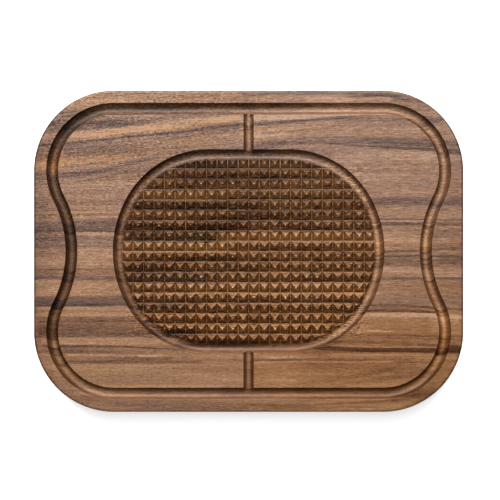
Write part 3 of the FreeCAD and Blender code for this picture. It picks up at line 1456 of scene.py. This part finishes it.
RIGHT_VEINS = (
    Vein(Tone.DARK, ((170.0, 12.0), (203.4, 12.0)), 7.0, 3.0, 3.0, 0.4, 8.0, 3.0),
    Vein(Tone.PALE, ((170.0, -60.0), (202.0, -68.0)), 12.0, 5.0, 5.0, 0.4, 12.0, 8.0),
    Vein(Tone.SLATE, ((116.6, 47.6), (203.4, 47.6)), 3.0, 0.4, 2.8, 0.58, 13.2, 2.8),
    Vein(Tone.PALE, ((116.0, 38.1), (203.4, 38.1)), 4.7, 1.9, 1.9, 0.2, 7.6, 3.8),
    Vein(Tone.DARK, ((116.0, 29.9), (203.4, 29.6)), 0.7, 0.4, 0.4, 0.47, 5.7, 2.8),
    Vein(Tone.PALE, ((116.0, 28.3), (175.1, 28.3)), 0.5, 0.3, 0.3, 0.7, 3.8, 5.7),
    Vein(Tone.DARK, ((116.0, 26.1), (203.4, 25.9)), 1.3, 0.6, 0.5, 0.66, 4.7, 2.8),
    Vein(Tone.PALE, ((116.0, 16.4), (203.4, 16.4)), 7.1, 0.4, 2.8, 0.4, 4.7, 2.8),
    Vein(Tone.AMBER, ((116.0, 6.0), (203.4, 7.9)), 4.7, 1.9, 1.9, 0.45, 4.7, 2.8),
    Vein(
        Tone.DARK, ((116.0, -0.8), (152.5, 0.4), (176.1, 1.8), (203.4, 2.8)),
        0.7, 0.4, 0.5, 0.66, 4.7, 2.8,
    ),
    Vein(Tone.DARK, ((116.0, -9.1), (203.4, -8.6)), 4.5, 1.3, 1.5, 0.39, 4.7, 2.8),
    Vein(Tone.DARK, ((116.0, -5.3), (144.9, -4.3), (203.4, -6.2)), 0.6, 0.4, 0.4, 0.47, 4.7, 2.8),
    Vein(Tone.DARK, ((116.0, -11.1), (203.4, -8.1)), 0.6, 0.4, 0.4, 0.39, 4.7, 2.8),
    Vein(Tone.PALE, ((116.0, -19.4), (203.4, -19.4)), 4.5, 0.9, 0.4, 0.45, 4.7, 2.8),
    Vein(Tone.DARK, ((116.0, -25.9), (203.4, -25.5)), 0.8, 0.5, 0.5, 0.66, 4.7, 2.8),
    Vein(
        Tone.UMBER, ((109.0, -50.8), (143.0, -51.1), (171.3, -53.0), (203.4, -55.5)),
        0.9, 0.5, 0.6, 0.74, 5.7, 2.8,
    ),
    Vein(Tone.UMBER, ((107.1, -56.5), (143.0, -56.3), (180.8, -57.7)), 1.0, 0.6, 0.3, 0.86, 5.7, 9.4),
    Vein(Tone.UMBER, ((107.1, -53.8), (203.4, -56.3)), 2.6, 0.6, 0.6, 0.23, 5.7, 2.8),
    Vein(
        Tone.PALE, ((103.4, -60.0), (143.0, -60.0), (180.8, -61.0), (203.4, -62.9)),
        1.7, 0.3, 0.8, 0.85, 5.7, 2.8,
    ),
    Vein(Tone.AMBER, ((99.6, -69.5), (203.4, -70.4)), 5.7, 1.9, 1.9, 0.5, 7.6, 2.8),
    Vein(Tone.PALE, ((110.9, -75.1), (137.4, -75.7)), 0.6, 0.4, 0.4, 0.8, 4.7, 5.7),
)
LOWER_RIGHT_VEINS = (
    Vein(Tone.PALE, ((84.0, -83.0), (203.4, -84.0)), 7.0, 2.5, 2.5, 0.3, 15.0, 3.0),
    Vein(Tone.PALE, ((155.0, -104.0), (200.0, -104.0)), 6.0, 2.0, 2.0, 0.3, 10.0, 4.0),
    Vein(Tone.UMBER, ((40.0, -108.0), (203.4, -108.0)), 30.0, 6.0, 10.0, 0.38, 50.0, 20.0),
    Vein(Tone.UMBER, ((92.0, -78.0), (128.9, -78.9), (203.4, -80.3)), 0.8, 0.5, 0.5, 0.5, 7.6, 2.8),
    Vein(Tone.UMBER, ((124.1, -81.8), (203.4, -83.3)), 0.8, 0.5, 0.5, 0.4, 7.6, 2.8),
    Vein(Tone.UMBER, ((73.2, -84.6), (143.0, -86.9), (203.4, -90.7)), 1.1, 0.6, 0.7, 0.6, 7.6, 2.8),
    Vein(Tone.PALE, ((76.9, -89.3), (180.8, -90.9)), 0.6, 0.3, 0.3, 0.5, 7.6, 5.7),
    Vein(
        Tone.UMBER, ((59.9, -90.5), (91.1, -92.2), (124.1, -93.1), (175.1, -93.5), (205.3, -93.5)),
        2.0, 0.7, 0.2, 1.0, 15.1, 1.9,
    ),
    Vein(Tone.UMBER, ((185.5, -93.5), (205.3, -93.5)), 4.7, 0.9, 0.3, 0.3, 1.9, 1.9),
    Vein(Tone.AMBER, ((73.2, -97.8), (205.3, -98.7)), 2.5, 0.3, 1.9, 0.6, 9.4, 2.8),
    Vein(Tone.PALE, ((73.2, -97.6), (173.2, -98.0)), 0.5, 0.3, 0.3, 0.5, 9.4, 7.6),
    Vein(Tone.PALE, ((12.7, -99.7), (65.6, -99.7)), 1.1, 0.8, 0.6, 0.45, 5.7, 14.2),
    Vein(Tone.DARK, ((4.2, -102.9), (50.5, -102.7)), 0.8, 0.5, 0.5, 0.6, 3.8, 14.2),
    Vein(Tone.PALE, ((4.2, -105.0), (48.6, -104.4), (139.2, -104.4)), 0.8, 0.4, 0.5, 0.75, 3.8, 11.3),
    Vein(Tone.AMBER, ((3.3, -119.5), (199.7, -119.5)), 12.3, 1.9, 2.8, 0.62, 18.9, 9.4),
    Vein(Tone.UMBER, ((39.2, -126.1), (91.1, -119.5), (147.7, -108.2)), 1.5, 1.4, 1.4, 0.34, 18.9, 18.9),
    Vein(Tone.UMBER, ((76.9, -127.1), (128.9, -120.5), (177.0, -111.0)), 1.7, 1.4, 1.4, 0.34, 14.2, 14.2),
    Vein(Tone.UMBER, ((133.6, -137.4), (177.0, -128.0)), 4.7, 2.8, 2.4, 0.47, 9.4, 5.7),
)
LEFT_VEINS = (
    Vein(Tone.DARK, ((-203.4, 4.0), (-170.0, 4.0)), 11.0, 3.0, 3.0, 0.4, 3.0, 8.0),
    Vein(Tone.PALE, ((-160.0, -19.0), (-122.0, -19.0)), 6.0, 2.0, 2.0, 0.35, 8.0, 6.0),
    Vein(Tone.PALE, ((-201.0, -97.0), (-176.0, -104.0)), 8.0, 3.0, 3.0, 0.45, 4.0, 8.0),
    Vein(Tone.PALE, ((-181.7, 41.9), (-116.0, 42.9)), 0.7, 0.5, 0.5, 0.4, 7.6, 11.3),
    Vein(Tone.PALE, ((-177.9, 36.2), (-116.0, 37.2)), 0.8, 0.5, 0.5, 0.4, 7.6, 11.3),
    Vein(Tone.PALE, ((-176.1, 31.5), (-116.0, 32.5)), 0.8, 0.5, 0.6, 0.45, 7.6, 7.6),
    Vein(Tone.SLATE, ((-203.4, 22.1), (-168.5, 23.2), (-116.0, 23.6)), 4.9, 2.4, 0.5, 0.74, 2.8, 5.7),
    Vein(Tone.DARK, ((-203.4, 18.3), (-168.5, 19.4), (-116.0, 19.8)), 1.1, 0.8, 0.4, 0.41, 2.8, 5.7),
    Vein(Tone.PALE, ((-164.7, 16.4), (-116.0, 16.8)), 1.1, 0.5, 0.6, 0.5, 5.7, 5.7),
    Vein(Tone.SLATE, ((-203.4, 8.4), (-116.0, 8.9)), 4.3, 1.4, 0.8, 0.45, 2.8, 4.7),
    Vein(Tone.PALE, ((-203.4, -6.2), (-116.0, -5.9)), 7.8, 0.4, 2.8, 0.35, 2.8, 4.7),
    Vein(Tone.DARK, ((-203.4, -17.2), (-116.0, -16.6)), 0.6, 0.4, 0.4, 0.41, 2.8, 4.7),
    Vein(Tone.DARK, ((-203.4, -22.3), (-116.0, -21.8)), 4.7, 1.9, 0.3, 0.25, 2.8, 4.7),
    Vein(Tone.SLATE, ((-203.4, -24.9), (-116.0, -24.4)), 1.1, 0.6, 0.4, 0.66, 2.8, 4.7),
    Vein(Tone.PALE, ((-201.5, -34.8), (-116.0, -34.2)), 6.5, 0.3, 1.9, 0.5, 2.8, 5.7),
    Vein(Tone.SLATE, ((-201.5, -48.0), (-135.5, -47.8), (-113.8, -46.4)), 4.3, 2.1, 0.2, 0.94, 2.8, 4.7),
    Vein(Tone.PALE, ((-200.6, -56.8), (-104.3, -55.9)), 4.5, 0.2, 1.3, 0.5, 2.8, 7.6),
    Vein(Tone.DARK, ((-199.7, -71.4), (-88.3, -71.4)), 9.0, 0.9, 0.8, 0.31, 2.8, 11.3),
    Vein(Tone.DARK, ((-198.7, -66.3), (-102.4, -66.1)), 0.7, 0.5, 0.5, 0.41, 2.8, 18.9),
    Vein(Tone.DARK, ((-197.8, -79.1), (-83.5, -79.5)), 1.6, 0.8, 0.4, 0.37, 2.8, 18.9),
)
LOWER_LEFT_VEINS = (
    Vein(Tone.PALE, ((-196.8, -84.6), (-130.7, -85.0), (-66.6, -86.8)), 3.0, 0.3, 0.9, 0.45, 2.8, 18.9),
    Vein(Tone.DARK, ((-196.8, -89.3), (-130.7, -89.9), (-57.1, -93.5)), 0.8, 0.4, 0.5, 0.72, 4.7, 18.9),
    Vein(Tone.DARK, ((-193.0, -93.1), (-83.5, -94.2)), 2.5, 0.9, 0.6, 0.28, 4.7, 18.9),
    Vein(Tone.PALE, ((-172.3, -97.8), (-123.2, -97.8)), 0.8, 0.4, 0.4, 0.7, 5.7, 9.4),
    Vein(Tone.PALE, ((-104.3, -98.7), (-79.8, -98.9)), 0.8, 0.4, 0.4, 0.8, 4.7, 5.7),
    Vein(Tone.DARK, ((-128.9, -101.6), (-70.3, -101.2)), 1.2, 0.6, 0.6, 0.56, 7.6, 9.4),
    Vein(Tone.DARK, ((-187.4, -104.8), (-41.1, -104.6)), 1.1, 0.8, 0.2, 0.68, 7.6, 14.2),
    Vein(Tone.PALE, ((-185.5, -117.6), (1.4, -117.6)), 11.3, 0.3, 1.9, 0.3, 7.6, 9.4),
)
BOTTOM_RIM_VEINS = (
    Vein(Tone.PALE, ((55.0, -147.0), (160.0, -143.0)), 6.0, 2.0, 2.0, 0.3, 20.0, 20.0),
    # Painted light on the shaded upper wall of the juice groove along the bottom.
    Vein(Tone.PALE, ((-165.0, -131.0), (-20.0, -131.0)), 4.0, 1.6, 1.6, 0.5, 20.0, 20.0),
    Vein(Tone.PALE, ((-150.0, -146.0), (150.0, -146.0)), 8.0, 2.0, 4.0, 0.12, 20.0, 20.0),
    Vein(Tone.SLATE, ((-135.5, -144.1), (-12.7, -145.0)), 1.4, 0.9, 0.9, 0.5, 14.2, 18.9),
    Vein(Tone.SLATE, ((-111.9, -148.3), (1.4, -147.8)), 1.1, 0.8, 0.8, 0.5, 14.2, 18.9),
    Vein(
        Tone.UMBER, ((-12.7, -144.5), (48.6, -145.0), (95.8, -143.1), (144.9, -140.3)),
        1.0, 0.8, 0.8, 0.55, 18.9, 11.3,
    ),
    Vein(Tone.UMBER, ((10.9, -148.3), (124.1, -146.9)), 0.9, 0.7, 0.7, 0.45, 18.9, 18.9),
)
FIELD_VEINS = (
    Vein(Tone.DARK, ((-75.0, 44.0), (-22.0, 44.0)), 4.0, 1.4, 1.4, 0.35, 15.0, 15.0),
    Vein(Tone.DARK, ((-112.0, -5.0), (-10.0, -5.0)), 4.0, 1.4, 1.4, 0.4, 12.0, 20.0),
    Vein(Tone.SLATE, ((-75.0, 92.0), (75.0, 92.0)), 4.5, 2.0, 2.0, 0.35, 20.0, 20.0),
    # Painted highlight in the upper drain channel, together with paler wood beside it.
    Vein(Tone.PALE, ((-9.0, 113.0), (13.0, 114.0)), 13.0, 3.0, 3.0, 0.45, 4.0, 7.0),
    Vein(Tone.UMBER, ((-118.0, 23.0), (-64.7, 23.0), (1.4, 24.0)), 4.2, 1.9, 0.9, 0.85, 5.7, 28.3),
    Vein(Tone.UMBER, ((-60.0, 25.0), (6.0, 22.0)), 2.6, 1.2, 1.2, 0.5, 18.0, 12.0),
    Vein(Tone.DARK, ((-112.0, 44.0), (-30.0, 43.5), (20.0, 42.0)), 4.0, 1.4, 1.4, 0.75, 10.0, 20.0),
    Vein(Tone.DARK, ((-60.0, 34.0), (67.5, 32.5)), 4.0, 1.4, 1.4, 0.45, 20.0, 28.3),
    Vein(Tone.SLATE, ((-52.0, 83.0), (-10.0, 82.0)), 2.6, 1.4, 1.4, 0.8, 8.0, 12.0),
    Vein(Tone.DARK, ((-70.0, 72.5), (40.0, 71.5)), 3.8, 1.4, 1.4, 0.55, 20.0, 30.0),
    Vein(Tone.PALE, ((-105.0, 54.0), (-30.0, 54.5)), 3.6, 1.4, 1.4, 0.45, 8.0, 28.3),
    Vein(Tone.SLATE, ((-117.0, 14.5), (-19.4, 14.9)), 4.0, 0.6, 0.8, 0.9, 5.7, 18.9),
    Vein(Tone.PALE, ((-123.2, 5.6), (-12.7, 5.1)), 4.0, 0.8, 0.8, 1.0, 5.7, 28.3),
    Vein(Tone.PALE, ((-36.0, 14.5), (120.4, 14.5)), 4.3, 0.9, 0.9, 1.1, 23.6, 7.6),
    Vein(Tone.DARK, ((-117.0, -14.7), (-45.8, -14.7), (12.7, -15.7)), 4.2, 0.9, 0.9, 0.55, 5.7, 23.6),
    Vein(Tone.SLATE, ((-117.0, -23.2), (-38.2, -23.2)), 3.6, 0.9, 0.9, 0.7, 5.7, 14.2),
    Vein(Tone.SLATE, ((48.6, -15.7), (90.2, -14.7)), 3.8, 1.4, 1.4, 0.2, 14.2, 11.3),
    Vein(Tone.PALE, ((-116.6, -34.6), (114.7, -33.6)), 4.7, 0.9, 1.4, 0.4, 7.6, 11.3),
    Vein(Tone.SLATE, ((-117.5, -51.2), (-53.3, -51.5)), 2.1, 0.8, 0.5, 0.9, 3.8, 11.3),
    Vein(Tone.DARK, ((-96.0, -74.5), (-45.8, -76.1)), 3.2, 0.9, 0.9, 0.85, 5.7, 18.9),
    Vein(Tone.UMBER, ((-70.0, -84.0), (20.0, -84.0)), 2.8, 0.9, 0.9, 0.5, 12.0, 18.9),
    Vein(Tone.DARK, ((-72.0, -86.5), (4.0, -86.5)), 2.0, 1.2, 1.2, 0.45, 14.0, 8.0),
)
VEINS = {
    "top_rim": TOP_RIM_VEINS,
    "left_rim": LEFT_RIM_VEINS,
    "upper_left": UPPER_LEFT_VEINS,
    "upper_right": UPPER_RIGHT_VEINS,
    "right": RIGHT_VEINS,
    "lower_right": LOWER_RIGHT_VEINS,
    "left": LEFT_VEINS,
    "lower_left": LOWER_LEFT_VEINS,
    "bottom_rim": BOTTOM_RIM_VEINS,
    "field": FIELD_VEINS,
}


def main() -> None:
    """Builds the board and the studio in order and reports each piece."""
    logging.basicConfig(level=logging.INFO, format="%(name)s: %(message)s")
    low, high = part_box(BOARD_NODE)
    length, width, thickness = (high - low) / MM
    board = SteakBoard(Blank(length, width, thickness), VEINS)
    board.build()
    for piece in board.pieces:
        triangles = sum(len(face.vertices) - 2 for face in piece.data.polygons)
        log.info("%s: %d faces, %d triangles", piece.name, len(piece.data.polygons), triangles)
    Studio(thickness).build()


if __name__ == "__main__":
    main()
